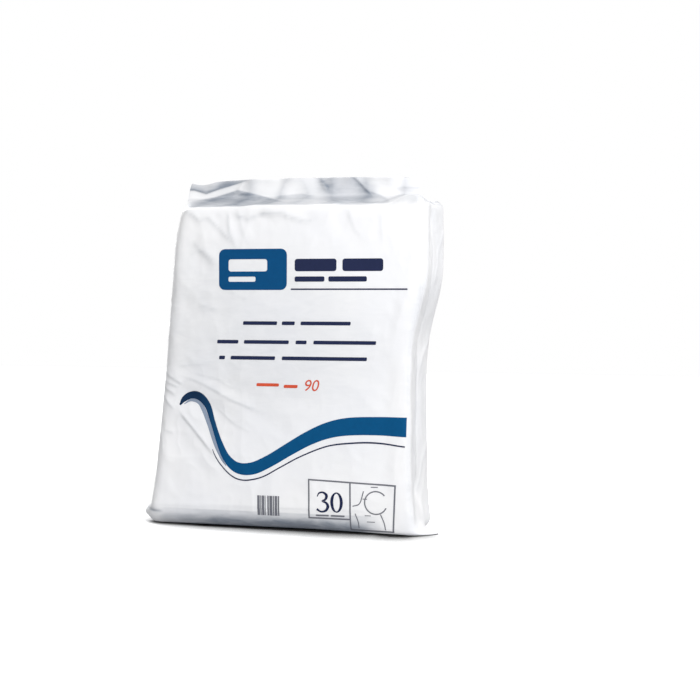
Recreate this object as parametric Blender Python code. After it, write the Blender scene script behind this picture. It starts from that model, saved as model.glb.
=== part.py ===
"""Sealed polythene pack of folded drainage bags, standing on its base.

A gusseted white film sleeve is drawn tight round an upright stack of flat bags.
Its top is welded into a flat fin, its base is folded under, and the folded
corners of the base stick out as ears. Metres, +Z up, printed face towards -Y.
"""
import math

import bmesh
import bpy

# The body, from the floor to the fold that closes the printed face
BODY_HEIGHT = 0.314
BODY_DEPTH = 0.080
BASE_WIDTH = 0.2735
LEFT_SLOPE = 0.034
LEFT_SLOPE_POWER = 0.72
LEFT_TOP_ROUNDING = 0.004
LEFT_ROUNDING_HEIGHT = 0.045
RIGHT_SHOULDER_FLARE = 0.0165
SHOULDER_DROP = 0.054
SHOULDER_RAMP = 0.096
LEFT_CORNER_RADIUS = 0.0125
RIGHT_CORNER_RADIUS = 0.0060
ROUND_SHARE = 0.8
FRONT_BULGE = 0.0030
BACK_BULGE = 0.0060

# The side gussets, pressed in along the middle of each side
LEFT_GUSSET_DEPTH = 0.0050
RIGHT_GUSSET_DEPTH = 0.0035
GUSSET_FOOT_HEIGHT = 0.040

# The base, where the film curls under the stack
FRONT_CURL_LEFT = 0.0165
FRONT_CURL_RIGHT = 0.0050
FRONT_CURL_NARROWS_FROM = 0.58
BACK_CURL = 0.0090
SIDE_CURL = 0.0070
FOOT_FLARE = 0.0060
FOOT_FLARE_HEIGHT = 0.024

# The ears, the folded corners of the base weld
LEFT_EAR_LENGTH = 0.0165
LEFT_EAR_HEIGHT = 0.0115
LEFT_EAR_THICKNESS = 0.0075
RIGHT_EAR_LENGTH = 0.0255
RIGHT_EAR_THICKNESS = 0.0045
EAR_SETBACK = 0.019
EAR_SPREAD = 0.015

# The roof between the top folds and the fin, and the raised right end of it
ROOF_RISE = 0.0110
ROOF_CURVE = 2.2
ROOF_ARCH = 0.0030
ROOF_RIPPLES = [(0.0010, 0.061, 0.0), (0.0007, 0.026, 1.3)]
SHOULDER_PUFF = 0.0125
SHOULDER_PUFF_LENGTH = 0.042
SHOULDER_PUFF_SETBACK = 0.015
ROOF_TUCK = 0.022

# The welded fin
FIN_HEIGHT = 0.0163
FIN_THICKNESS = 0.0012
FIN_LEFT_OVERHANG = 0.0055
FIN_LEFT_LEAN = 0.0035
FIN_RIGHT_INSET = 0.0150
FIN_WAVES = [(0.0026, 0.118, 0.6), (0.0016, 0.047, 2.1), (0.0008, 0.021, 4.0)]
FIN_EDGE_RISE = 0.0022
FIN_DIP = 0.0032
FIN_DIP_PLACE = 0.013
FIN_DIP_REACH = 0.012

# How finely each stretch of the sleeve is divided
FACE_STEPS = 40
CORNER_STEPS = 4
HALF_SIDE_STEPS = 5
BODY_ROWS = 30
ROOF_ROWS = 5
FIN_ROWS = 6
BASE_ROW_HEIGHTS = (0.0, 0.0011, 0.0030, 0.0062, 0.0105, 0.0155, 0.0215)
POINT_MERGE = 0.0001

# Creases as (start, end, depth, width): the points are shares of the face's
# width and height, the depth is towards the stack, a minus sign lifts a ridge
FRONT_CREASES = [
    ((0.00, 0.520), (0.24, 0.445), 0.0022, 0.0060),
    ((0.00, 0.495), (0.36, 0.375), -0.0024, 0.0070),
    ((0.00, 0.470), (0.27, 0.365), 0.0026, 0.0065),
    ((0.05, 0.405), (0.26, 0.215), -0.0022, 0.0085),
    ((0.02, 0.385), (0.22, 0.170), 0.0011, 0.0080),
    ((0.28, 0.455), (0.50, 0.330), 0.0014, 0.0080),
    ((0.46, 0.425), (0.62, 0.400), 0.0014, 0.0060),
    ((0.02, 0.990), (0.14, 0.935), 0.0026, 0.0070),
    ((0.17, 0.985), (0.20, 0.895), 0.0026, 0.0060),
    ((0.21, 0.975), (0.38, 0.955), 0.0022, 0.0060),
    ((0.38, 0.955), (0.54, 0.975), -0.0018, 0.0060),
    ((0.07, 0.895), (0.15, 0.815), 0.0024, 0.0070),
    ((0.52, 0.980), (0.66, 0.830), -0.0020, 0.0110),
    ((0.62, 0.970), (0.80, 0.800), 0.0018, 0.0120),
    ((0.97, 0.730), (0.915, 0.560), -0.0030, 0.0080),
    ((0.92, 0.640), (0.905, 0.060), 0.0012, 0.0070),
    ((0.05, 0.700), (0.22, 0.680), 0.0014, 0.0080),
    ((0.00, 0.250), (0.10, 0.235), 0.0020, 0.0070),
    ((0.00, 0.150), (0.09, 0.165), 0.0018, 0.0070),
]
BACK_CREASES = [
    ((0.02, 0.985), (0.20, 0.860), 0.0030, 0.0090),
    ((0.98, 0.980), (0.84, 0.830), 0.0030, 0.0090),
    ((0.30, 0.990), (0.42, 0.860), -0.0024, 0.0100),
    ((0.66, 0.985), (0.58, 0.880), 0.0022, 0.0090),
    ((0.00, 0.560), (0.30, 0.450), 0.0030, 0.0090),
    ((0.00, 0.520), (0.34, 0.360), -0.0026, 0.0090),
    ((1.00, 0.600), (0.72, 0.520), 0.0026, 0.0090),
    ((1.00, 0.430), (0.70, 0.500), -0.0024, 0.0090),
    ((0.06, 0.060), (0.30, 0.200), 0.0024, 0.0100),
    ((0.94, 0.070), (0.74, 0.180), 0.0024, 0.0100),
    ((0.36, 0.700), (0.62, 0.640), 0.0018, 0.0120),
]
SIDE_CREASES = [
    ((0.50, 0.960), (0.08, 0.800), 0.0030, 0.0070),
    ((0.50, 0.960), (0.92, 0.800), 0.0030, 0.0070),
    ((0.10, 0.620), (0.50, 0.520), -0.0022, 0.0070),
    ((0.90, 0.580), (0.50, 0.500), -0.0022, 0.0070),
    ((0.50, 0.330), (0.15, 0.250), 0.0020, 0.0070),
    ((0.50, 0.130), (0.10, 0.040), 0.0028, 0.0070),
    ((0.50, 0.130), (0.90, 0.040), 0.0028, 0.0070),
]
FIN_CREASES = [
    ((0.02, 0.30), (0.20, 0.92), 0.0016, 0.0050),
    ((0.20, 0.92), (0.46, 0.25), 0.0018, 0.0060),
    ((0.58, 0.95), (0.62, 0.10), -0.0014, 0.0050),
    ((0.78, 0.80), (0.92, 0.15), 0.0016, 0.0060),
]

FILM_COLOUR = (0.86, 0.87, 0.89, 1.0)
FILM_ROUGHNESS = 0.36


def smooth(share):
    """Ease from 0 to 1, flat at both ends."""
    share = min(max(share, 0.0), 1.0)
    return share * share * (3.0 - 2.0 * share)


def left_edge(height):
    """The left side slopes in as it rises and rounds over at the top."""
    share = min(height / BODY_HEIGHT, 1.0)
    slope = LEFT_SLOPE * share ** LEFT_SLOPE_POWER
    rounding_foot = BODY_HEIGHT - LEFT_ROUNDING_HEIGHT
    rounding = LEFT_TOP_ROUNDING * max(0.0, (height - rounding_foot) / LEFT_ROUNDING_HEIGHT) ** 2
    return -BASE_WIDTH / 2 + slope + min(rounding, LEFT_TOP_ROUNDING)


def right_edge(height):
    """The right side stands upright and flares out at the shoulder."""
    ramp_foot = BODY_HEIGHT - SHOULDER_DROP - SHOULDER_RAMP
    return BASE_WIDTH / 2 + RIGHT_SHOULDER_FLARE * smooth((height - ramp_foot) / SHOULDER_RAMP)


def curl(height, radius):
    """How far a wall has turned under at this height, for a quarter-round foot."""
    rise = min(height / radius, 1.0)
    return radius * (1.0 - math.sqrt(max(0.0, 1.0 - (1.0 - rise) ** 2)))


def crease_depth(creases, across, up, width, height):
    """Sum of the creases of one face at a point given in shares of that face."""
    total = 0.0
    x, z = across * width, up * height
    for (start_u, start_v), (end_u, end_v), depth, half_width in creases:
        start_x, start_z = start_u * width, start_v * height
        run_x, run_z = end_u * width - start_x, end_v * height - start_z
        length_squared = run_x * run_x + run_z * run_z
        along = ((x - start_x) * run_x + (z - start_z) * run_z) / length_squared
        nearest = min(max(along, 0.0), 1.0)
        away = math.hypot(x - start_x - nearest * run_x, z - start_z - nearest * run_z)
        total += depth * math.exp(-(away / half_width) ** 2) * (1.0 - 0.5 * nearest)
    return total


def ripple(waves, x):
    """Sum of a few waves, each given as height, length and phase."""
    return sum(height * math.sin(2.0 * math.pi * x / length + phase) for height, length, phase in waves)


class Row:
    """One closed loop round the sleeve: its side planes, walls and corners.

    A corner takes at most ROUND_SHARE of the half depth, and all of it in the
    fin, whose ends are half round.
    """

    def __init__(self, height, half_depth, left, right, tuck, level):
        self.height = height
        self.half_depth = half_depth
        self.left = left
        self.right = right
        self.tuck = tuck
        self.level = level
        widest = half_depth if half_depth <= FIN_THICKNESS / 2 else ROUND_SHARE * half_depth
        self.left_radius = min(LEFT_CORNER_RADIUS, widest)
        self.right_radius = min(RIGHT_CORNER_RADIUS, widest)

    def half_loop(self, side):
        """Points from the middle of the left side to the middle of the right.

        side is -1 for the front half and +1 for the back half. Each point comes
        with the name of its stretch and its share along it.
        """
        wall = side * self.half_depth
        left_tuck, right_tuck = self.tuck
        points = []
        for step in range(HALF_SIDE_STEPS):
            share = step / HALF_SIDE_STEPS
            y = share * (wall - side * self.left_radius)
            points.append((self.left + left_tuck * (1.0 - share), y, "left", share))
        for step in range(CORNER_STEPS):
            angle = math.pi / 2 * step / CORNER_STEPS
            x = self.left + self.left_radius * (1.0 - math.cos(angle))
            y = wall - side * self.left_radius * (1.0 - math.sin(angle))
            points.append((x, y, "left_corner", step / CORNER_STEPS))
        start = self.left + self.left_radius
        run = self.right - self.right_radius - start
        for step in range(FACE_STEPS + 1):
            share = step / FACE_STEPS
            points.append((start + run * share, wall, "face", share))
        for step in range(1, CORNER_STEPS + 1):
            angle = math.pi / 2 * step / CORNER_STEPS
            x = self.right - self.right_radius * (1.0 - math.sin(angle))
            y = wall - side * self.right_radius * (1.0 - math.cos(angle))
            points.append((x, y, "right_corner", 1.0 - step / CORNER_STEPS))
        for step in range(1, HALF_SIDE_STEPS + 1):
            share = 1.0 - step / HALF_SIDE_STEPS
            y = share * (wall - side * self.right_radius)
            points.append((self.right - right_tuck * (1.0 - share), y, "right", share))
        return points


def gusset_depths(height):
    """The gussets fade out at the foot, where the base weld holds them flat."""
    fade = smooth(height / GUSSET_FOOT_HEIGHT)
    return LEFT_GUSSET_DEPTH * fade, RIGHT_GUSSET_DEPTH * fade


def body_rows():
    """Rows from the floor to the fold at the top of the printed face."""
    first = BASE_ROW_HEIGHTS[-1]
    upper = [first + (BODY_HEIGHT - first) * (row + 1) / BODY_ROWS for row in range(BODY_ROWS)]
    rows = []
    for height in (*BASE_ROW_HEIGHTS, *upper):
        rows.append(Row(height, BODY_DEPTH / 2, left_edge(height), right_edge(height),
                        gusset_depths(height), "body"))
    return rows


def roof_rows():
    """Rows from the top fold in to the fin, with the gussets tucked between."""
    left, right = left_edge(BODY_HEIGHT), right_edge(BODY_HEIGHT)
    fin_left, fin_right = left - FIN_LEFT_OVERHANG, right - FIN_RIGHT_INSET
    left_start, right_start = gusset_depths(BODY_HEIGHT)
    rows = []
    for step in range(1, ROOF_ROWS + 1):
        share = step / ROOF_ROWS
        half_depth = BODY_DEPTH / 2 * (1.0 - share) + FIN_THICKNESS / 2 * share
        pocket = ROOF_TUCK * math.sin(math.pi * share ** 1.5)
        tuck = (left_start * (1.0 - share) + pocket, right_start * (1.0 - share) + pocket)
        rows.append(Row(BODY_HEIGHT + ROOF_RISE * share ** ROOF_CURVE, half_depth,
                        left + (fin_left - left) * share, right + (fin_right - right) * share,
                        tuck, ("roof", share)))
    return rows


def fin_rows():
    """Rows of the flat weld, from its foot to its free edge."""
    foot_left = left_edge(BODY_HEIGHT) - FIN_LEFT_OVERHANG
    right = right_edge(BODY_HEIGHT) - FIN_RIGHT_INSET
    foot = BODY_HEIGHT + ROOF_RISE
    rows = []
    for step in range(1, FIN_ROWS + 1):
        share = step / FIN_ROWS
        left = foot_left + FIN_LEFT_LEAN * share
        rows.append(Row(foot + FIN_HEIGHT * share, FIN_THICKNESS / 2, left, right,
                        (0.0, 0.0), ("fin", share)))
    return rows


def shape_body_point(row, side, x, y, stretch, share):
    """Curl the foot, swell the faces, press in the creases and draw out the ears."""
    height = row.height
    width = row.right - row.left
    across = (x - row.left) / width
    depth_share = y / row.half_depth
    up = height / BODY_HEIGHT
    if side < 0:
        narrowed = smooth((across - FRONT_CURL_NARROWS_FROM) / (1.0 - FRONT_CURL_NARROWS_FROM))
        radius = FRONT_CURL_LEFT + (FRONT_CURL_RIGHT - FRONT_CURL_LEFT) * narrowed
        bulge, creases = FRONT_BULGE, FRONT_CREASES
    else:
        radius, bulge, creases = BACK_CURL, BACK_BULGE, BACK_CREASES
    y -= curl(height, radius) * depth_share
    crown = math.sin(math.pi * min(max(across, 0.0), 1.0)) * math.sin(math.pi * min(up, 1.0) ** 0.8)
    if stretch == "face":
        edge_fade = smooth(min(share, 1.0 - share) / 0.05) * 0.75 + 0.25
        pressed = crease_depth(creases, across, up, width, BODY_HEIGHT) * edge_fade
        pressed *= smooth(height / 0.020)
        y += side * bulge * crown - side * pressed
    outward = -1.0 if across < 0.5 else 1.0
    turn = abs(2.0 * across - 1.0) ** 6
    x -= outward * curl(height, SIDE_CURL) * turn
    if stretch in ("left", "right"):
        pressed = crease_depth(SIDE_CREASES, 0.5 + 0.5 * depth_share, up, BODY_DEPTH, BODY_HEIGHT)
        x -= outward * pressed * smooth(height / 0.020) * (1.0 - share ** 4)
    flare = math.exp(-height / FOOT_FLARE_HEIGHT)
    if outward > 0.0:
        x += FOOT_FLARE * flare * turn
    reach = math.exp(-((y + EAR_SETBACK) / EAR_SPREAD) ** 2) * turn
    if outward < 0.0:
        x -= LEFT_EAR_LENGTH * reach * math.exp(-((height - LEFT_EAR_HEIGHT) / LEFT_EAR_THICKNESS) ** 2)
    else:
        x += RIGHT_EAR_LENGTH * reach * math.exp(-(height / RIGHT_EAR_THICKNESS) ** 2)
    lift = top_lift(across, stretch) * smooth((up - 0.86) / 0.14)
    return x, y, height + lift


def top_lift(across, stretch):
    """Height of the top fold above its ends: a low arch and the puffed right end.

    The gussets stay at the height of the corners that they join.
    """
    if stretch in ("left", "right"):
        across = 0.0 if across < 0.5 else 1.0
    arch = ROOF_ARCH * (1.0 - (2.0 * min(max(across, 0.0), 1.0) - 1.0) ** 2)
    width = right_edge(BODY_HEIGHT) - left_edge(BODY_HEIGHT)
    from_end = max((1.0 - across) * width, 0.0)
    run = SHOULDER_PUFF_LENGTH - SHOULDER_PUFF_SETBACK
    puff = SHOULDER_PUFF * smooth((SHOULDER_PUFF_LENGTH - from_end) / run)
    drop = 0.60 * max(0.0, 1.0 - from_end / SHOULDER_PUFF_SETBACK) ** 2
    return arch + puff * (1.0 - drop)


def shape_roof_point(row, side, x, y, stretch, share):
    """Lay the roof between the arched top fold and the straight foot of the fin."""
    inward = row.level[1]
    across = (x - row.left) / (row.right - row.left)
    lift = top_lift(across, stretch) * (1.0 - inward) + ROOF_ARCH * inward
    if stretch == "face":
        lift += ripple(ROOF_RIPPLES, x + side * y) * math.sin(math.pi * inward)
    return x, y, row.height + lift


def shape_fin_point(row, side, x, y, stretch, share):
    """Let the fin wave, more so towards its free edge, crease it, and dip its left corner."""
    up = row.level[1]
    width = row.right - row.left
    across = (x - row.left) / width
    wave = ripple(FIN_WAVES, x - row.left)
    wave += crease_depth(FIN_CREASES, across, up, width, FIN_HEIGHT)
    edge = FIN_EDGE_RISE * math.sin(math.pi * across)
    edge -= FIN_DIP * math.exp(-((x - row.left - FIN_DIP_PLACE) / FIN_DIP_REACH) ** 2)
    return x, y + wave * up ** 1.4, row.height + ROOF_ARCH + edge * up


def loop_points(row):
    """The whole closed loop of one row: the front half, then the back half."""
    if row.level == "body":
        shape = shape_body_point
    elif row.level[0] == "roof":
        shape = shape_roof_point
    else:
        shape = shape_fin_point
    front = [shape(row, -1, *point) for point in row.half_loop(-1)]
    back = [shape(row, 1, *point) for point in row.half_loop(1)]
    return front + back[-2:0:-1]


def close_base(mesh, loop):
    """Close the base flat, from its outline in to a row of points along its middle."""
    count = len(loop)
    first = HALF_SIDE_STEPS + CORNER_STEPS
    last = first + FACE_STEPS
    spine = {}
    for step in range(first, last + 1):
        x = (loop[step].co.x + loop[count - step].co.x) / 2
        spine[step] = mesh.verts.new((x, 0.0, 0.0))
    for step in range(count):
        after = (step + 1) % count
        inner = spine[min(max(min(step, count - step), first), last)]
        inner_after = spine[min(max(min(after, count - after), first), last)]
        corners = [loop[step], inner, loop[after]]
        if inner_after is not inner:
            corners.insert(2, inner_after)
        mesh.faces.new(corners)


def close_fin_edge(mesh, loop):
    """Close the fin's free edge with a strip from its front to its back."""
    count = len(loop)
    for step in range(count // 2):
        front = (loop[step], loop[step + 1])
        back = (loop[(count - step - 1) % count], loop[(count - step) % count])
        corners = []
        for vertex in (*front, *back):
            if vertex not in corners:
                corners.append(vertex)
        mesh.faces.new(corners)


def build_pack():
    """Loft the sleeve through all its rows and close it above and below."""
    mesh = bmesh.new()
    loops = []
    for row in (*body_rows(), *roof_rows(), *fin_rows()):
        loops.append([mesh.verts.new(point) for point in loop_points(row)])
    for lower, upper in zip(loops, loops[1:]):
        count = len(lower)
        for step in range(count):
            after = (step + 1) % count
            mesh.faces.new((lower[step], lower[after], upper[after], upper[step]))
    close_base(mesh, loops[0])
    close_fin_edge(mesh, loops[-1])
    bmesh.ops.remove_doubles(mesh, verts=mesh.verts, dist=POINT_MERGE)
    xs = [vertex.co.x for vertex in mesh.verts]
    ys = [vertex.co.y for vertex in mesh.verts]
    centre = (-(min(xs) + max(xs)) / 2, -(min(ys) + max(ys)) / 2, 0.0)
    bmesh.ops.translate(mesh, vec=centre, verts=mesh.verts)
    return mesh


def film_material():
    """White polythene with a soft gloss."""
    material = bpy.data.materials.new("white_polythene")
    material.use_nodes = True
    shader = material.node_tree.nodes["Principled BSDF"]
    shader.inputs["Base Color"].default_value = FILM_COLOUR
    shader.inputs["Roughness"].default_value = FILM_ROUGHNESS
    shader.inputs["Metallic"].default_value = 0.0
    return material


for leftover in list(bpy.data.objects):
    bpy.data.objects.remove(leftover)

pack_mesh = bpy.data.meshes.new("sealed_pack")
sleeve = build_pack()
sleeve.to_mesh(pack_mesh)
sleeve.free()
pack_mesh.materials.append(film_material())
pack_mesh.shade_smooth()
pack_mesh.set_sharp_from_angle(angle=math.radians(40.0))
sealed_pack = bpy.data.objects.new("sealed_pack", pack_mesh)
bpy.context.scene.collection.objects.link(sealed_pack)
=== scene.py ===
"""A sealed white polythene pack of thirty folded bedside drainage bags.

It stands on its folded base with its welded fin upright, in a plain white room.
"""
import math

import bpy
import numpy as np
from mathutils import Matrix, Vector, noise


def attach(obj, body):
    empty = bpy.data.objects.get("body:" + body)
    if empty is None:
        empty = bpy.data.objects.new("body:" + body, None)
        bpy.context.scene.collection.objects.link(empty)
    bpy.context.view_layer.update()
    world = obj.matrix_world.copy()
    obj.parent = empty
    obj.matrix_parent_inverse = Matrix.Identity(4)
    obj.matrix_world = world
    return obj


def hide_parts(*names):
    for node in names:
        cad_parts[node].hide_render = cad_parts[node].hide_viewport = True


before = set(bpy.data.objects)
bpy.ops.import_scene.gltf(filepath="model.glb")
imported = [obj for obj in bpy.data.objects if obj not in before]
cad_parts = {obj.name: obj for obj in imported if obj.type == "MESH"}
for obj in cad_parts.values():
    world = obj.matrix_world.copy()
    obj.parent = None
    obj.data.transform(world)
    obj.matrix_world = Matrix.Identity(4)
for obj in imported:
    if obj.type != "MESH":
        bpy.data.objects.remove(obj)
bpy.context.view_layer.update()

scene = bpy.context.scene


# The camera stands 1.4 m from the pack, in front and a little to its right, just over
# the height of its middle, so the printed face shows with a sliver of its right side.
camera_data = bpy.data.cameras.new("camera")
camera_data.lens = 72.0
camera_data.sensor_width = 36.0
camera = bpy.data.objects.new("camera", camera_data)
camera.location = (0.4319, -1.3339, 0.232)
camera.rotation_euler = (math.radians(87.67), 0.0, math.radians(15.6))
scene.collection.objects.link(camera)
scene.camera = camera


# The film sleeve is one tube of white polythene drawn tight round the stack. Its
# sides are tucked in as gussets, its top is welded flat into a fin, and its base
# is folded under. The frame gives its form, and the fine creases are added here.
sleeve_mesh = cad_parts["sealed_pack"].data.copy()
sleeve = bpy.data.objects.new("film_sleeve", sleeve_mesh)
scene.collection.objects.link(sleeve)
bpy.ops.object.select_all(action="DESELECT")
sleeve.select_set(True)
bpy.context.view_layer.objects.active = sleeve
bpy.ops.mesh.customdata_custom_splitnormals_clear()
bpy.ops.object.mode_set(mode="EDIT")
bpy.ops.mesh.select_all(action="SELECT")
bpy.ops.mesh.remove_doubles(threshold=0.00002)
bpy.ops.mesh.tris_convert_to_quads(face_threshold=0.9, shape_threshold=1.2)
bpy.ops.object.mode_set(mode="OBJECT")
for polygon in sleeve_mesh.polygons:
    polygon.use_smooth = True
finer = sleeve.modifiers.new("finer", "SUBSURF")
finer.levels = 2
finer.render_levels = 2
bpy.ops.object.modifier_apply(modifier="finer")

# The film is cut finer still where the fan of creases runs in from the left
FAN_ACROSS = (-0.128, -0.030)
FAN_UP = (0.055, 0.165)
bpy.ops.object.mode_set(mode="EDIT")
bpy.ops.mesh.select_all(action="DESELECT")
bpy.ops.object.mode_set(mode="OBJECT")
for polygon in sleeve_mesh.polygons:
    in_span = FAN_ACROSS[0] < polygon.center[0] < FAN_ACROSS[1]
    in_height = FAN_UP[0] < polygon.center[2] < FAN_UP[1]
    polygon.select = in_span and in_height and polygon.normal[1] < -0.6
bpy.ops.object.mode_set(mode="EDIT")
bpy.ops.mesh.subdivide(number_cuts=1)
bpy.ops.object.mode_set(mode="OBJECT")

# The film's folds, greys and painted shade are placed in millimetres from here on
MM_PER_METRE = 1000.0
TOP_FOLD = 317.0
FIN_START = 322.0


def mesh_points(mesh):
    """The mesh's points as rows of x, y, z."""
    points = np.zeros(len(mesh.vertices) * 3)
    mesh.vertices.foreach_get("co", points)
    return points.reshape(-1, 3)


def mesh_normals(mesh):
    """The mesh's point normals as rows of x, y, z."""
    normals = np.zeros(len(mesh.vertices) * 3)
    mesh.vertex_normals.foreach_get("vector", normals)
    return normals.reshape(-1, 3)


def ease(values):
    """Ease from 0 to 1, flat at both ends: ease((up - 20) / 5) rises from 20 to 25 mm up."""
    values = np.clip(values, 0.0, 1.0)
    return values * values * (3.0 - 2.0 * values)


def facing(slope):
    """How far the film faces the side of this slope, from 0 to 1."""
    return ease((slope - 0.35) / 0.5)


def crease(line, height, near, far, over=None):
    """A crease through these places, in millimetres over and up: sharp along its
    line, near and far giving its reach below and above it, and dying out at both ends."""
    over = across if over is None else over
    places = np.array(line, float)
    runs = np.diff(places, axis=0)
    lengths = np.linalg.norm(runs, axis=1)
    passed = np.concatenate([[0.0], np.cumsum(lengths)])
    nearest = np.full(len(across), np.inf)
    raised = np.zeros(len(across))
    for place, run, length, before in zip(places, runs, lengths, passed):
        off_x = over - place[0]
        off_z = up - place[1]
        along = np.clip((off_x * run[0] + off_z * run[1]) / length ** 2, 0.0, 1.0)
        gap = np.hypot(off_x - along * run[0], off_z - along * run[1])
        below = off_x * run[1] - off_z * run[0] > 0.0
        share = (before + along * length) / passed[-1]
        starting = ease(share / 0.2)
        ending = ease((1.0 - share) / 0.3)
        profile = np.exp(-gap / np.where(below, near, far)) * starting * ending
        raised = np.where(gap < nearest, profile, raised)
        nearest = np.minimum(nearest, gap)
    return height * raised


def stand_out(mesh, heights):
    """Moves each point of the mesh along its own normal by its height in millimetres."""
    moved = mesh_points(mesh) + mesh_normals(mesh) * (heights / MM_PER_METRE)[:, None]
    mesh.vertices.foreach_set("co", moved.ravel())
    mesh.update()


def ridges(points, stretch, scale, seed):
    """Crumple from 0 to 1: sharp ridges between hollows, longer along the stretch."""
    values = np.empty(len(points))
    for index, point in enumerate(points * stretch * scale):
        values[index] = 1.0 - abs(noise.noise(Vector(point) + Vector((seed, 0.0, 0.0))))
    return values ** 3


points = mesh_points(sleeve_mesh)
normals = mesh_normals(sleeve_mesh)
across, deep, up = (points * MM_PER_METRE).T
below_top = ease((TOP_FOLD - up) / 4.0)
front = facing(-normals[:, 1]) * below_top
back = facing(normals[:, 1]) * below_top
side = facing(np.abs(normals[:, 0])) * below_top
in_fin = ease((up - FIN_START) / 5.0)

# Creases of the printed face: a fan from the waist on the left, short ones along
# the top, and the fold over the foot, each with its height and its two flanks
FACE_CREASES = [
    ([(-104, 151), (-78, 142), (-51, 128), (-22, 117), (-6, 109)], 0.90, 1.4, 5.0),
    ([(-94, 154), (-64, 148), (-51, 140), (-30, 137)], 0.40, 1.4, 5.0),
    ([(-68, 122), (-45, 103), (-24, 94)], 0.40, 1.5, 6.0),
    ([(-106, 116), (-93, 102), (-75, 81), (-66, 70)], 1.45, 1.3, 4.5),
    ([(-83, 76), (-74, 63), (-61, 54)], 0.22, 1.1, 3.0),
    ([(-124, 156), (-114, 149), (-98, 140)], 0.90, 1.3, 3.0),
    ([(-124, 146), (-104, 138)], 0.80, 1.2, 3.0),
    ([(-125, 141), (-108, 130)], 0.90, 1.2, 3.0),
    ([(-126, 133), (-116, 122), (-108, 115)], 1.00, 1.3, 3.0),
    ([(-110, 159), (-92, 161), (-66, 162)], 0.35, 1.4, 4.0),
    ([(-100, 178), (-78, 174)], 0.30, 1.4, 4.0),
    ([(-127, 97), (-124, 86), (-123, 70)], 0.70, 1.3, 2.5),
    ([(-124, 97), (-109, 92)], 0.45, 1.2, 3.0),
    ([(-103, 315), (-91, 309), (-82, 303), (-70, 306)], 1.10, 1.2, 4.0),
    ([(-78, 309), (-68, 300), (-59, 292), (-46, 278)], 0.95, 1.2, 3.5),
    ([(-54, 313), (-51, 290), (-42, 272)], 0.95, 1.2, 3.0),
    ([(-44, 317), (-38, 292), (-28, 272)], 0.40, 1.2, 4.0),
    ([(-50, 309), (-32, 304), (-21, 308), (-2, 312)], 1.15, 1.2, 3.0),
    ([(-22, 309), (2, 309), (14, 304), (28, 300), (44, 306)], 1.10, 1.2, 4.0),
    ([(-92, 284), (-80, 272), (-66, 258)], 0.75, 1.2, 4.0),
    ([(-96, 270), (-78, 273), (-62, 259)], 0.65, 1.2, 4.0),
    ([(-86, 221), (-60, 214)], 0.65, 1.3, 4.0),
    ([(-50, 232), (-30, 224)], 0.50, 1.3, 4.0),
    ([(68, 314), (76, 292), (87, 282)], 0.50, 1.3, 4.0),
    ([(101, 310), (103, 276)], 0.30, 1.3, 4.0),
    ([(142, 250), (137, 212), (131, 194)], 0.70, 1.4, 3.0),
    ([(127, 52), (134, 26)], 0.45, 1.3, 3.0),
    ([(-160, 20), (-121, 20.5), (10, 22.0), (135, 22.5)], 0.55, 1.0, 3.5),
    ([(-165, 19), (-150, 16), (-138, 14.5), (-122, 13)], -0.80, 1.6, 1.2),
]
relief = np.zeros(len(points))
creased = np.zeros(len(points))
for line, height, near, far in FACE_CREASES:
    relief += crease(line, height, near, far) * front
    creased += crease(line, height, 0.8 * near, 0.6 * far) * front

# The printed face is drawn tight over the stack, which evens out its broadest folds:
# each runs between two places and has a height, halved at its end, and a reach
DRAWN_TIGHT = [
    ((-112, 128), (-66, 68), -1.3, 8.5),
    ((24, 309), (55, 261), -1.5, 11.0),
    ((49, 305), (91, 252), 0.9, 12.0),
    ((-11, 301), (29, 307), -0.9, 6.0),
]
for start, end, height, reach in DRAWN_TIGHT:
    run = np.subtract(end, start)
    along = ((across - start[0]) * run[0] + (up - start[1]) * run[1]) / (run @ run)
    along = np.clip(along, 0.0, 1.0)
    gap = np.hypot(across - start[0] - along * run[0], up - start[1] - along * run[1])
    relief += height * np.exp(-(gap / reach) ** 2) * (1.0 - 0.5 * along) * front

# The back has the same gathers as the face, and each side has the fold of its gusset
BACK_CREASES = [
    ([(132, 306), (114, 288), (98, 262)], 0.80, 1.3, 4.0),
    ([(96, 314), (88, 296), (66, 284)], 0.60, 1.3, 4.0),
    ([(-100, 308), (-86, 290), (-74, 264)], 0.80, 1.3, 4.0),
    ([(-62, 314), (-54, 292), (-30, 280)], 0.60, 1.3, 4.0),
    ([(4, 313), (22, 300), (50, 294)], 0.55, 1.3, 4.0),
    ([(-122, 166), (-90, 159), (-52, 142), (-12, 134)], 0.90, 1.4, 6.0),
    ([(-123, 154), (-96, 138), (-62, 112)], 0.80, 1.4, 5.0),
    ([(-125, 142), (-106, 120), (-88, 92)], 0.70, 1.3, 4.0),
    ([(128, 180), (94, 172), (62, 154), (30, 150)], 0.80, 1.4, 6.0),
    ([(128, 156), (100, 136), (78, 106)], 0.70, 1.4, 5.0),
    ([(-20, 226), (8, 214), (46, 217)], 0.40, 1.4, 5.0),
    ([(-120, 34), (-86, 56), (-52, 66)], 0.60, 1.3, 4.0),
    ([(120, 32), (88, 58), (54, 74)], 0.60, 1.3, 4.0),
    ([(-138, 15), (-60, 18), (50, 16), (134, 17)], 0.55, 1.0, 3.5),
]
SIDE_CREASES = [
    ([(2, 316), (-3, 226), (2, 120), (-1, 14)], -1.30, 2.2, 2.2),
    ([(-38, 296), (-18, 268), (-5, 228)], 0.80, 1.3, 4.0),
    ([(37, 300), (18, 272), (5, 236)], 0.80, 1.3, 4.0),
    ([(-34, 176), (-14, 160), (-3, 132)], 0.80, 1.3, 4.0),
    ([(34, 190), (14, 170), (3, 148)], 0.70, 1.3, 4.0),
    ([(-32, 94), (-12, 72), (-3, 40)], 0.80, 1.3, 4.0),
    ([(32, 86), (14, 62), (3, 32)], 0.70, 1.3, 4.0),
]
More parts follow.
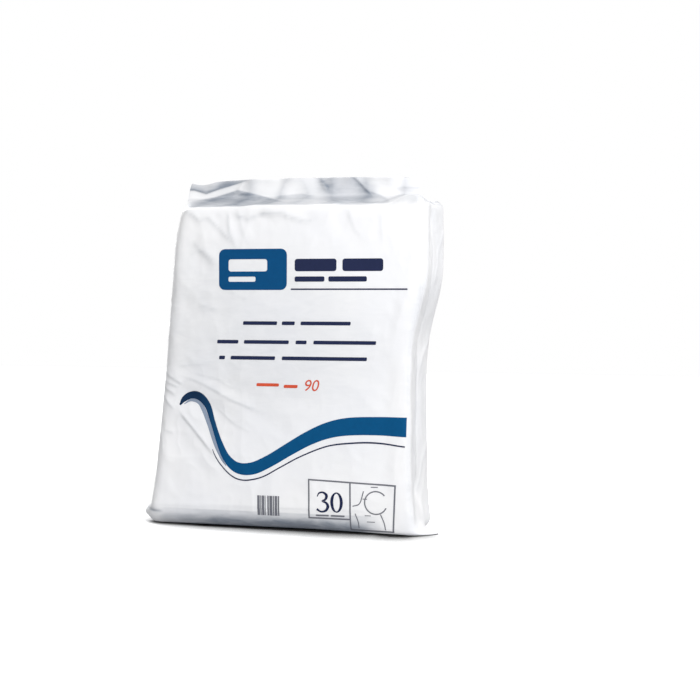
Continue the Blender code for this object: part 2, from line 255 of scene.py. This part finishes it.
for line, height, near, far in BACK_CREASES:
    relief += crease(line, height, near, far) * back
    creased += crease(line, height, 0.8 * near, 0.6 * far) * back
for line, height, near, far in SIDE_CREASES:
    relief += crease(line, height, near, far, deep) * side
    creased += crease(line, abs(height), 0.8 * near, 0.6 * far, deep) * side

# The fin is creased on the slant where the welded film has been bent to and fro
FIN_CREASES = [
    ([(-118, 337), (-104, 337), (-91, 333), (-76, 338), (-50, 346)], 1.4, 1.4, 3.5),
    ([(-96, 325), (-57, 334), (-40, 330), (-6, 320)], 1.5, 4.0, 1.4),
    ([(-57, 334), (-50, 346)], 0.8, 1.5, 3.0),
    ([(28, 348), (33, 337), (38, 331)], 1.1, 1.4, 3.0),
    ([(64, 347), (73, 338), (82, 328)], 1.4, 1.4, 4.0),
    ([(80, 330), (92, 326), (104, 319)], 1.0, 1.4, 4.0),
    ([(-12, 326), (12, 328), (27, 323)], 0.9, 1.4, 3.5),
    ([(104, 335), (118, 332), (132, 331)], 0.6, 1.4, 4.0),
]
bend = np.zeros(len(points))
for line, height, near, far in FIN_CREASES:
    bend += crease(line, height, near, far) * in_fin

# A light crumple all over, least where the stack holds the printed face flat
FLAT_MIDDLE = (30.0, 190.0)
FLAT_REACH = (95.0, 110.0)
CRUMPLE_HEIGHT = 0.75
SMALL_HEIGHT = 0.28
crumple = ridges(points, np.array([1.0, 1.0, 0.55]), 26.0, 3.0)
small = ridges(points, np.array([1.0, 1.0, 0.8]), 75.0, 11.0)
off_middle = ((across - FLAT_MIDDLE[0]) / FLAT_REACH[0]) ** 2
off_middle += ((up - FLAT_MIDDLE[1]) / FLAT_REACH[1]) ** 2
held_flat = front * np.exp(-off_middle)
slack = (1.0 - 0.8 * held_flat) * ease(up / 20.0)
relief += (CRUMPLE_HEIGHT * crumple + SMALL_HEIGHT * small) * slack * (1.0 - in_fin)
stand_out(sleeve_mesh, relief)
bent = mesh_points(sleeve_mesh)
bent[:, 1] -= (bend + 0.9 * (crumple - 0.5) * in_fin) / MM_PER_METRE

# The tip of the left ear is drawn in by a few millimetres and crumpled
EAR_PULL = 4.0
left_ear = ease((-134.0 - across) / 18.0) * ease((28.0 - up) / 8.0)
bent[:, 0] += (EAR_PULL * left_ear + 1.2 * (crumple - 0.5) * left_ear) / MM_PER_METRE
bent[:, 2] += 1.6 * (small - 0.5) * left_ear * ease(up / 6.0) / MM_PER_METRE
sleeve_mesh.vertices.foreach_set("co", bent.ravel())
sleeve_mesh.update()
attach(sleeve, "root")
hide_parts("sealed_pack")


def soft_field(middle, reach, turn, amount):
    """A soft oval on the film where it looks darker, by this amount at its middle."""
    angle = math.radians(turn)
    off_x = across - middle[0]
    off_z = up - middle[1]
    along = (off_x * math.cos(angle) + off_z * math.sin(angle)) / reach[0]
    aside = (off_z * math.cos(angle) - off_x * math.sin(angle)) / reach[1]
    return amount * np.exp(-(along ** 2 + aside ** 2) ** 2)


# Where two layers lie together with nothing white behind them the film looks grey, and along
# the creases of the fin it is painted darker still as shade, each crease with its grey and its two
# flanks
FIN_GREY_AND_SHADE_CREASES = [
    ([(-130, 337), (-104, 336.5), (-91, 332.5), (-76, 337.5), (-55, 343), (-36, 348)], 1.25, 0.6, 7.0),
    ([(-106, 324), (-82, 328), (-57, 335), (-40, 331), (8, 318)], 0.95, 13.0, 0.7),
    ([(-98, 318), (-50, 318), (20, 318)], 0.55, 0.5, 6.0),
    ([(-22, 328), (10, 330), (30, 327)], 0.45, 8.0, 0.8),
    ([(22, 354), (31, 343), (37, 337), (40, 328)], 0.75, 3.0, 3.0),
    ([(58, 350), (68, 342), (78, 332), (90, 320)], 0.52, 4.5, 1.2),
    ([(78, 332), (92, 327), (110, 317)], 0.50, 6.0, 0.8),
    ([(106, 335), (138, 334)], 0.35, 2.5, 0.8),
]
# Broad soft fields of the fin's grey, partly its two layers and partly painted shade, each with its
# middle, reach, turn and amount
FIN_GREY_AND_SHADE_FIELDS = [
    ((58, 334), (32, 17), -8, 0.52),
    ((-60, 324), (32, 8), 4, 0.28),
    ((-98, 321), (12, 5), 0, 0.35),
    ((-14, 338), (18, 8), 0, -0.10),
]
grey = np.zeros(len(points))
for line, amount, near, far in FIN_GREY_AND_SHADE_CREASES:
    grey = np.maximum(grey, crease(line, amount, near, far))
for middle, reach, turn, amount in FIN_GREY_AND_SHADE_FIELDS:
    grey += soft_field(middle, reach, turn, amount)

# All of the fin is a little grey where its two layers lie together, with painted shade low down
# by its foot and along its crumpled ridges, and its foot dips at the left
grey += 0.16 + 0.22 * ease((330.0 - up) / 5.0) + 0.5 * (crumple - 0.6)
fin_foot = TOP_FOLD - 2.6 * ease((-10.0 - across) / 70.0) * ease((deep + 34.0) / 8.0)
grey *= 0.78 * ease((up - fin_foot) / 1.5)

# The base is painted darker where it turns under in front, as painted shade on the turned-under film,
# less so towards its two ends, and darkest in painted shade along the fold of the left ear
front_half = ease((-18.0 - deep) / 6.0)
foot_share = (0.45 + 0.55 * ease((across + 136.0) / 90.0)) * ease((112.0 - across) / 40.0)
ear = ease((-120.0 - across) / 14.0)
foot_shade = 0.36 * ease((19.0 - up) / 1.8) + 0.60 * ease((16.0 - up) / 10.0)
grey += foot_shade * foot_share * (1.0 - 0.85 * ear) * front_half
EAR_FOLD_SHADE = [(-162, 18), (-148, 15.5), (-136, 14.5), (-118, 13)]
grey = np.maximum(grey, crease(EAR_FOLD_SHADE, 0.95, 1.6, 1.8) * front_half)

# Painted shade darkens the printed face over its left and middle and round its right corner,
# and every crease is painted a shade greyer than the film beside it
corner_shade = 2.0 * np.clip(normals[:, 0], 0.0, 1.0) * np.clip(-normals[:, 1], 0.0, 1.0)
grey += soft_field((-40, 200), (150, 82), 0, 0.17) * front
grey += soft_field((30, 130), (110, 70), 0, 0.06) * front
grey += 0.17 * corner_shade * below_top + 0.18 * creased
loose = sleeve_mesh.attributes.new("loose_film", "FLOAT", "POINT")
loose.data.foreach_set("value", 0.15 + 0.85 * (1.0 - held_flat))
# The grey of doubled film and the painted shade go to the material together as one attribute
grey_and_shade_film = sleeve_mesh.attributes.new("grey_and_shade_film", "FLOAT", "POINT")
grey_and_shade_film.data.foreach_set("value", np.clip(grey, 0.0, 1.0))


def map_range(nodes, links, value, reach, results):
    """A Map Range node's result: this reach of the value turned into these results,
    of which each is a number or another node's output."""
    node = nodes.new("ShaderNodeMapRange")
    node.inputs["From Min"].default_value = reach[0]
    node.inputs["From Max"].default_value = reach[1]
    for socket, result in zip(("To Min", "To Max"), results):
        if isinstance(result, float):
            node.inputs[socket].default_value = result
        else:
            links.new(result, node.inputs[socket])
    links.new(value, node.inputs["Value"])
    return node.outputs["Result"]


def put_together(nodes, links, operation, first, second):
    """A Math node's value: two other nodes' outputs put together by this operation."""
    node = nodes.new("ShaderNodeMath")
    node.operation = operation
    links.new(first, node.inputs[0])
    links.new(second, node.inputs[1])
    return node.outputs["Value"]


# White polythene: milky, with a soft gloss, clouded a little, and finely crinkled
film = bpy.data.materials.new("white_polythene")
film.use_nodes = True
nodes = film.node_tree.nodes
links = film.node_tree.links
shader = nodes["Principled BSDF"]
shader.inputs["IOR"].default_value = 1.51
place = nodes.new("ShaderNodeTexCoord")
cloud = nodes.new("ShaderNodeTexNoise")
cloud.inputs["Scale"].default_value = 14.0
cloud.inputs["Detail"].default_value = 3.0
links.new(place.outputs["Object"], cloud.inputs["Vector"])
milk = nodes.new("ShaderNodeValToRGB")
milk.color_ramp.elements[0].position = 0.30
milk.color_ramp.elements[0].color = (0.830, 0.835, 0.858, 1.0)
milk.color_ramp.elements[1].position = 0.70
milk.color_ramp.elements[1].color = (0.868, 0.866, 0.870, 1.0)
links.new(cloud.outputs["Fac"], milk.inputs["Fac"])

# The grey of doubled film and the painted shade are uneven, in streaks drawn out across the pack
grey_and_shade_amount = nodes.new("ShaderNodeAttribute")
grey_and_shade_amount.attribute_name = "grey_and_shade_film"
# Grey film and painted shade both turn the milky white towards this blue-grey
grey_and_shade_tint = nodes.new("ShaderNodeMix")
grey_and_shade_tint.data_type = "RGBA"
grey_and_shade_tint.inputs["B"].default_value = (0.235, 0.265, 0.315, 1.0)
streak = nodes.new("ShaderNodeTexNoise")
streak.inputs["Scale"].default_value = 85.0
streak.inputs["Detail"].default_value = 5.0
streak.inputs["Distortion"].default_value = 1.2
drawn_out = nodes.new("ShaderNodeMapping")
drawn_out.inputs["Scale"].default_value = (0.45, 1.0, 1.4)
links.new(place.outputs["Object"], drawn_out.inputs["Vector"])
links.new(drawn_out.outputs["Vector"], streak.inputs["Vector"])
uneven = map_range(nodes, links, streak.outputs["Fac"], (0.3, 0.7), (0.80, 1.20))
streaked_grey_and_shade = put_together(nodes, links, "MULTIPLY", grey_and_shade_amount.outputs["Fac"], uneven)
links.new(streaked_grey_and_shade, grey_and_shade_tint.inputs["Factor"])
links.new(milk.outputs["Color"], grey_and_shade_tint.inputs["A"])
links.new(grey_and_shade_tint.outputs["Result"], shader.inputs["Base Color"])
haze = map_range(nodes, links, cloud.outputs["Fac"], (0.0, 1.0), (0.28, 0.44))
links.new(haze, shader.inputs["Roughness"])

# The fine crinkle is strongest where the film hangs loose
crinkle = nodes.new("ShaderNodeTexNoise")
crinkle.noise_type = "RIDGED_MULTIFRACTAL"
crinkle.inputs["Scale"].default_value = 48.0
crinkle.inputs["Detail"].default_value = 4.0
crinkle.inputs["Distortion"].default_value = 0.4
links.new(place.outputs["Object"], crinkle.inputs["Vector"])
slackness = nodes.new("ShaderNodeAttribute")
slackness.attribute_name = "loose_film"
raise_crinkle = nodes.new("ShaderNodeBump")
raise_crinkle.inputs["Distance"].default_value = 0.0007
links.new(slackness.outputs["Fac"], raise_crinkle.inputs["Strength"])
links.new(crinkle.outputs["Fac"], raise_crinkle.inputs["Height"])
links.new(raise_crinkle.outputs["Normal"], shader.inputs["Normal"])
sleeve_mesh.materials.clear()
sleeve_mesh.materials.append(film)


# The wave is a broad blue band printed across the face, with a thin navy line
# under it. All the print is ink on the film, so each piece of it is a flat
# outline cut into small faces and laid on the film, a fraction of a millimetre up.
INK_LIFT = 0.00022
INK_CELL = 0.0018
PRINT_PLANE = -0.060


def ink(name, colour):
    """A gravure ink on polythene: a flat colour, slightly uneven and duller than the film."""
    material = bpy.data.materials.new(name)
    material.use_nodes = True
    nodes = material.node_tree.nodes
    links = material.node_tree.links
    shader = nodes["Principled BSDF"]
    shader.inputs["Roughness"].default_value = 0.36
    shader.inputs["Specular IOR Level"].default_value = 0.12
    place = nodes.new("ShaderNodeTexCoord")
    mottle = nodes.new("ShaderNodeTexNoise")
    mottle.inputs["Scale"].default_value = 260.0
    mottle.inputs["Detail"].default_value = 4.0
    links.new(place.outputs["Object"], mottle.inputs["Vector"])
    tone = nodes.new("ShaderNodeMix")
    tone.data_type = "RGBA"
    tone.inputs["A"].default_value = (*[part * 0.9 for part in colour], 1.0)
    tone.inputs["B"].default_value = (*[part * 1.1 for part in colour], 1.0)
    links.new(mottle.outputs["Fac"], tone.inputs["Factor"])
    links.new(tone.outputs["Result"], shader.inputs["Base Color"])
    return material


def only(piece):
    """Selects this piece alone and makes it the active one."""
    bpy.ops.object.select_all(action="DESELECT")
    piece.select_set(True)
    bpy.context.view_layer.objects.active = piece


def lay_on_film(piece, material, lift=INK_LIFT):
    """Turns a flat piece in x and y upright, cuts it into cells and lays it on the film."""
    only(piece)
    bpy.ops.object.convert(target="MESH")
    bpy.ops.object.transform_apply(location=True, rotation=True, scale=True)
    shape = piece.data
    flat = mesh_points(shape)
    upright = np.column_stack([flat[:, 0], np.full(len(flat), PRINT_PLANE), flat[:, 1]])
    shape.vertices.foreach_set("co", upright.ravel())
    low, high = upright.min(0), upright.max(0)
    bpy.ops.object.mode_set(mode="EDIT")
    for axis in (0, 2):
        normal = [0.0, 0.0, 0.0]
        normal[axis] = 1.0
        cells = math.ceil((high[axis] - low[axis]) / INK_CELL)
        for cell in range(1, cells):
            cut = [0.0, 0.0, 0.0]
            cut[axis] = low[axis] + (high[axis] - low[axis]) * cell / cells
            bpy.ops.mesh.select_all(action="SELECT")
            bpy.ops.mesh.bisect(plane_co=cut, plane_no=normal)
    bpy.ops.mesh.select_all(action="SELECT")
    bpy.ops.mesh.remove_doubles(threshold=0.00001)
    bpy.ops.object.mode_set(mode="OBJECT")
    laid = piece.modifiers.new("laid", "SHRINKWRAP")
    laid.target = sleeve
    laid.wrap_method = "PROJECT"
    laid.use_project_y = True
    laid.use_positive_direction = True
    laid.use_negative_direction = False
    bpy.ops.object.modifier_apply(modifier="laid")
    raised = mesh_points(shape)
    raised[:, 1] -= lift
    shape.vertices.foreach_set("co", raised.ravel())
    for polygon in shape.polygons:
        polygon.use_smooth = True
    shape.materials.clear()
    shape.materials.append(material)
    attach(piece, "root")


def smooth_line(stations, steps=8):
    """Points of a smooth curve through the stations, with this many steps between two."""
    stations = np.array(stations, float)
    padded = np.vstack([2 * stations[0] - stations[1], stations, 2 * stations[-1] - stations[-2]])
    line = []
    for before, start, end, after in zip(padded, padded[1:], padded[2:], padded[3:]):
        for step in range(steps):
            t = step / steps
            line.append(0.5 * (2 * start + (end - before) * t
                               + (2 * before - 5 * start + 4 * end - after) * t ** 2
                               + (3 * start - before - 3 * end + after) * t ** 3))
    return np.array(line + [stations[-1]])


def flat_shape(name, *outlines):
    """A filled flat curve from closed outlines in millimetres; an inner outline is a hole."""
    curve = bpy.data.curves.new(name, "CURVE")
    curve.dimensions = "2D"
    curve.fill_mode = "BOTH"
    for outline in outlines:
        spline = curve.splines.new("POLY")
        spline.points.add(len(outline) - 1)
        for point, (across, up) in zip(spline.points, outline):
            point.co = (across / MM_PER_METRE, up / MM_PER_METRE, 0.0, 1.0)
        spline.use_cyclic_u = True
    piece = bpy.data.objects.new(name, curve)
    scene.collection.objects.link(piece)
    return piece


def band(stations):
    """The outline of a band from stations of across, up and width, in millimetres."""
    line = smooth_line(stations)
    run = np.gradient(line[:, :2], axis=0)
    run /= np.linalg.norm(run, axis=1)[:, None]
    side = np.column_stack([-run[:, 1], run[:, 0]]) * line[:, 2:] / 2
    return np.vstack([line[:, :2] + side, (line[:, :2] - side)[::-1]])


blue_ink = ink("blue_ink", (0.0006, 0.062, 0.178))
navy_ink = ink("navy_ink", (0.014, 0.020, 0.060))

# The band is printed navy at its hook and fades to blue on the way down
wave_ink = ink("wave_ink", (0.0002, 0.071, 0.192))
nodes = wave_ink.node_tree.nodes
links = wave_ink.node_tree.links
where = nodes.new("ShaderNodeTexCoord")
apart = nodes.new("ShaderNodeSeparateXYZ")
links.new(where.outputs["Object"], apart.inputs["Vector"])
fade = map_range(nodes, links, apart.outputs["X"], (-0.084, -0.052), (0.0, 1.0))
hook = nodes.new("ShaderNodeMix")
hook.data_type = "RGBA"
hook.inputs["A"].default_value = (0.0045, 0.024, 0.066, 1.0)
links.new(fade, hook.inputs["Factor"])
base_colour = nodes["Principled BSDF"].inputs["Base Color"]
links.new(base_colour.links[0].from_socket, hook.inputs["B"])
links.new(hook.outputs["Result"], base_colour)
WAVE = [(-104.0, 121.0, 1.5), (-99.5, 127.0, 5.5), (-92.0, 131.0, 7.0), (-83.0, 130.0, 8.0),
        (-74.8, 121.5, 6.6), (-68.7, 104.5, 5.1), (-62.0, 85.5, 5.9), (-54.5, 69.8, 8.0),
        (-43.5, 60.6, 10.8), (-28.0, 60.2, 12.0), (-10.0, 68.2, 11.8), (9.5, 79.8, 12.2),
        (29.5, 91.2, 13.4), (49.5, 99.6, 15.4), (70.0, 103.8, 17.0), (98.0, 104.9, 17.6),
        (126.8, 104.3, 18.8)]
wave = flat_shape("print_wave_band", band(WAVE))
lay_on_film(wave, wave_ink)

# A grey-blue shade runs down the left of the hook, under the band, and a thin navy
# line follows the band below it
WAVE_SHADE = [(-99.5, 122.0, 0.6), (-92.5, 126.0, 2.6), (-84.5, 124.6, 3.8), (-79.6, 118.4, 4.2),
              (-73.2, 103.4, 4.0), (-66.6, 84.4, 3.4), (-59.6, 68.6, 2.2), (-55.0, 62.0, 0.6)]
shade_ink = ink("shade_ink", (0.25, 0.30, 0.39))
wave_shade = flat_shape("print_wave_shade", band(WAVE_SHADE))
lay_on_film(wave_shade, shade_ink, 0.6 * INK_LIFT)
UNDERLINE = [(-69.0, 78.0, 0.5), (-66.5, 71.8, 0.9), (-62.4, 65.0, 1.0), (-56.8, 58.6, 1.1),
             (-50.4, 52.8, 1.2), (-42.5, 49.1, 1.2), (-32.0, 48.6, 1.3),
             (-16.6, 52.6, 1.2), (2.0, 62.8, 1.2), (22.5, 73.8, 1.2), (48.9, 84.3, 1.3),
             (74.4, 88.0, 1.5), (97.8, 88.6, 1.5), (125.3, 85.6, 1.3)]
underline = flat_shape("print_wave_line", band(UNDERLINE))
lay_on_film(underline, navy_ink)


# The title at the head of the face is a plain printed panel in two parts: a blue block
# with two words left white, then navy words on the bare film, over a thin navy rule.
def dash(left, right, low, high, radius, slant=0.0):
    """A bar with rounded corners, which stands for one printed word."""
    outline = []
    corners = ((right - radius, high - radius, 0), (left + radius, high - radius, 90),
               (left + radius, low + radius, 180), (right - radius, low + radius, 270))
    for across, up, start in corners:
        for step in range(5):
            angle = math.radians(start + 22.5 * step)
            place = up + radius * math.sin(angle)
            lean = slant * (place - low)
            outline.append((across + radius * math.cos(angle) + lean, place))
    return outline


PANEL_LOW = 235.0
PANEL_HIGH = 275.0
BROAD_ROW = (253.0, 265.0, 2.5)
NARROW_ROW = (243.0, 248.0, 1.5)
block = flat_shape("print_title_block", dash(-62.0, 8.0, PANEL_LOW, PANEL_HIGH, 6.0),
                   dash(-52.0, -12.0, *BROAD_ROW), dash(-52.0, -24.0, *NARROW_ROW))
lay_on_film(block, blue_ink)
title = flat_shape("print_title_words",
                   dash(16.0, 58.0, *BROAD_ROW), dash(64.0, 104.0, *BROAD_ROW),
                   dash(16.0, 46.0, *NARROW_ROW), dash(50.0, 88.0, *NARROW_ROW))
lay_on_film(title, navy_ink)
rule = flat_shape("print_title_rule", dash(12.0, 128.0, PANEL_LOW, PANEL_LOW + 1.4, 0.6))
lay_on_film(rule, navy_ink)


# Three lines of navy words stand under the title, and a short red line under them
# with a plain number. They are printed with the rest, and the words are plain bars.
def words(name, lines):
    """One piece for lines of words, each given as left, right, low and high."""
    return flat_shape(name, *[dash(*line, radius=0.9, slant=0.12) for line in lines])


WORD_LOW = 0.4
WORD_HIGH = 3.9
LINES = [
    (200.6, [(-37, -2), (3, 16), (22, 72)]),
    (182.2, [(-64, -42), (-36, 10), (17, 28), (35, 97)]),
    (166.6, [(-62, -56), (-50, -4), (3, 88)]),
]
bars = []
for low, runs in LINES:
    for left, right in runs:
        bars.append((left, right, low + WORD_LOW, low + WORD_HIGH))
text = words("print_words", bars)
lay_on_film(text, navy_ink)
red_ink = ink("red_ink", (0.60, 0.085, 0.040))
red = words("print_red_words", [(-23, 0, 141.2, 144.2), (5, 19, 140.0, 143.0)])
lay_on_film(red, red_ink)
bpy.ops.object.text_add(location=(0.0245, 0.1375, 0.0))
number = bpy.context.object
number.name = "print_red_number"
number.data.body = "90"
number.data.size = 0.0155
number.data.shear = 0.25
lay_on_film(number, red_ink)


# The count box is a thin dark grey frame in two halves: the plain count on the left,
# in navy, and a line drawing of a bag with its coiled tube on the right, in grey.
def ring(middle, radius, width, start, end):
    """The outline of an open ring, drawn as an arc of constant width."""
    outline = []
    turns = np.radians(np.linspace(start, end, 28))
    for reach, way in ((radius + width / 2, turns), (radius - width / 2, turns[::-1])):
        for turn in way:
            outline.append((middle[0] + reach * math.cos(turn), middle[1] + reach * math.sin(turn)))
    return outline


def oval(middle, reach):
    """A closed oval outline."""
    outline = []
    for turn in np.linspace(0.0, 2.0 * math.pi, 32, endpoint=False):
        outline.append((middle[0] + reach[0] * math.cos(turn), middle[1] + reach[1] * math.sin(turn)))
    return outline


grey_ink = ink("grey_ink", (0.16, 0.165, 0.19))
BOX = [(29.4, 52.2), (116.8, 48.8), (114.8, 2.6), (71.0, 3.0), (71.0, 13.2), (29.4, 13.4)]
COUNT_HALF = [(30.9, 50.7), (70.8, 49.1), (70.8, 14.7), (30.9, 14.9)]
DRAWING_HALF = [(72.3, 49.1), (115.1, 47.3), (113.3, 4.0), (72.3, 4.4)]
frame_line = flat_shape("print_count_frame", BOX, COUNT_HALF, DRAWING_HALF)
lay_on_film(frame_line, grey_ink)
THREE = [(38.6, 35.2, 0.8), (40.6, 38.6, 1.5), (44.6, 39.3, 1.8), (48.0, 36.6, 2.8), (46.8, 32.6, 2.2),
         (43.6, 30.9, 1.2), (47.6, 29.2, 2.2), (49.3, 25.6, 2.9), (47.0, 21.6, 2.2), (42.2, 20.6, 1.7),
         (38.2, 23.0, 2.2)]
NOUGHT = (58.0, 30.0)
count = flat_shape("print_count", band(THREE), oval(NOUGHT, (6.3, 9.9)), oval(NOUGHT, (3.3, 8.6)))
lay_on_film(count, navy_ink)
COUNT_ROW = (16.0, 17.6, 0.7)
count_words = flat_shape("print_count_words",
                         dash(37.0, 50.0, *COUNT_ROW), dash(52.0, 66.0, *COUNT_ROW))
lay_on_film(count_words, grey_ink)
drawing = flat_shape("print_drawing", ring((97.0, 31.0), 11.0, 1.2, 40, 335),
                     band([(74.0, 27.0, 1.0), (81.0, 30.0, 1.0), (85.0, 42.0, 1.0)]),
                     band([(101.5, 20.0, 1.0), (105.0, 12.0, 1.0), (106.5, 5.0, 1.0)]),
                     band([(76.5, 20.0, 0.9), (79.5, 12.0, 0.9), (80.0, 6.0, 0.9)]),
                     dash(84.0, 88.5, 34.0, 34.8, 0.3), dash(92.0, 99.0, 45.6, 46.5, 0.3),
                     dash(86.0, 92.0, 18.0, 18.7, 0.3), dash(88.0, 96.0, 12.0, 12.7, 0.3))
lay_on_film(drawing, grey_ink)


# Plain upright bars of a few widths are printed in dark grey near the foot, left of
# the count box. Each is given by its start and its width.
BARS_LEFT = -22.8
BARS_LOW = 14.5
BARS_HIGH = 34.0
BARS = [(0.0, 2.6), (3.2, 1.0), (4.8, 2.4), (7.8, 0.8), (10.4, 1.6), (12.6, 3.0),
        (16.2, 1.2), (18.0, 2.6), (21.2, 1.4)]
outlines = []
for start, width in BARS:
    left = BARS_LEFT + start
    right = left + width
    outlines.append([(left, BARS_LOW), (right, BARS_LOW), (right, BARS_HIGH), (left, BARS_HIGH)])
code = flat_shape("print_code_bars", *outlines)
lay_on_film(code, grey_ink)


# The floor is a plain white studio sheet, which throws less light back onto the pack
# than it shows. Its contact shadow is set in its own paint: light at the left end of
# the foot, deep in front of the right ear, and open beside and behind that ear.
bpy.ops.mesh.primitive_plane_add(size=4.0, location=(0.0, 0.6, 0.0))
bpy.ops.object.transform_apply(location=True, rotation=True, scale=True)
floor = bpy.context.object
floor.name = "floor"
floor_paint = bpy.data.materials.new("floor_paint")
floor_paint.use_nodes = True
nodes = floor_paint.node_tree.nodes
links = floor_paint.node_tree.links
nodes.remove(nodes["Principled BSDF"])
where = nodes.new("ShaderNodeTexCoord")
apart = nodes.new("ShaderNodeSeparateXYZ")
links.new(where.outputs["Object"], apart.inputs["Vector"])
contact = nodes.new("ShaderNodeAmbientOcclusion")
contact.inputs["Distance"].default_value = 0.06
under_ear = map_range(nodes, links, apart.outputs["Y"], (-0.038, -0.012), (1.8, 0.0))
by_ear = map_range(nodes, links, apart.outputs["X"], (0.095, 0.131), (1.0, under_ear))
deeper = put_together(nodes, links, "POWER", contact.outputs["AO"], by_ear)
lift_left = map_range(nodes, links, apart.outputs["X"], (-0.145, 0.05), (0.22, 0.0))
opened = put_together(nodes, links, "ADD", deeper, lift_left)
darkest = map_range(nodes, links, apart.outputs["X"], (-0.150, -0.085), (0.26, 0.025))
shade = map_range(nodes, links, opened, (0.46, 1.0), (darkest, 1.55))
seen_floor = nodes.new("ShaderNodeBsdfDiffuse")
links.new(shade, seen_floor.inputs["Color"])
bounce_floor = nodes.new("ShaderNodeBsdfDiffuse")
bounce_floor.inputs["Color"].default_value = (0.51, 0.515, 0.525, 1.0)
rays = nodes.new("ShaderNodeLightPath")
which = nodes.new("ShaderNodeMixShader")
links.new(rays.outputs["Is Camera Ray"], which.inputs["Fac"])
links.new(bounce_floor.outputs["BSDF"], which.inputs[1])
links.new(seen_floor.outputs["BSDF"], which.inputs[2])
links.new(which.outputs["Shader"], nodes["Material Output"].inputs["Surface"])
floor.data.materials.append(floor_paint)


# The studio light is a key from the upper right, a weak lamp low on the right, one
# from behind on the left, a small lamp close by at the upper right, and a white room,
# which lights the pack less than it shows in its gloss.
ROOM_LIGHT = 0.41
world = bpy.data.worlds.new("studio")
scene.world = world
world.use_nodes = True
nodes = world.node_tree.nodes
links = world.node_tree.links
background = nodes["Background"]
rays = nodes.new("ShaderNodeLightPath").outputs
seen = put_together(nodes, links, "MAXIMUM", rays["Is Camera Ray"], rays["Is Glossy Ray"])
seen = put_together(nodes, links, "MAXIMUM", seen, rays["Is Transmission Ray"])
level = map_range(nodes, links, seen, (0.0, 1.0), (ROOM_LIGHT, 1.0))
links.new(level, background.inputs["Strength"])
background.inputs["Color"].default_value = (1.0, 1.0, 1.0, 1.0)


def soft_sun(name, place, spread, strength):
    """A broad distant lamp that shines from this side onto the pack."""
    lamp = bpy.data.lights.new(name, "SUN")
    lamp.angle = math.radians(spread)
    lamp.energy = strength
    lamp_object = bpy.data.objects.new(name, lamp)
    lamp_object.location = place
    lamp_object.rotation_euler = (-Vector(place)).to_track_quat("-Z", "Y").to_euler()
    scene.collection.objects.link(lamp_object)


soft_sun("key", (0.92, -1.18, 1.00), 20.0, 1.82)
soft_sun("side", (1.50, -0.45, 0.30), 60.0, 0.28)
soft_sun("behind", (-0.90, 1.20, 0.70), 60.0, 1.70)
bpy.ops.object.light_add(type="AREA", location=(0.42, -0.50, 0.42))
near_lamp = bpy.context.object
near_lamp.name = "near_lamp"
near_lamp.rotation_euler = Vector((-0.44, 0.44, -0.22)).to_track_quat("-Z", "Y").to_euler()
near_lamp.data.shape = "DISK"
near_lamp.data.size = 0.30
near_lamp.data.energy = 1.40

scene.view_settings.view_transform = "Standard"
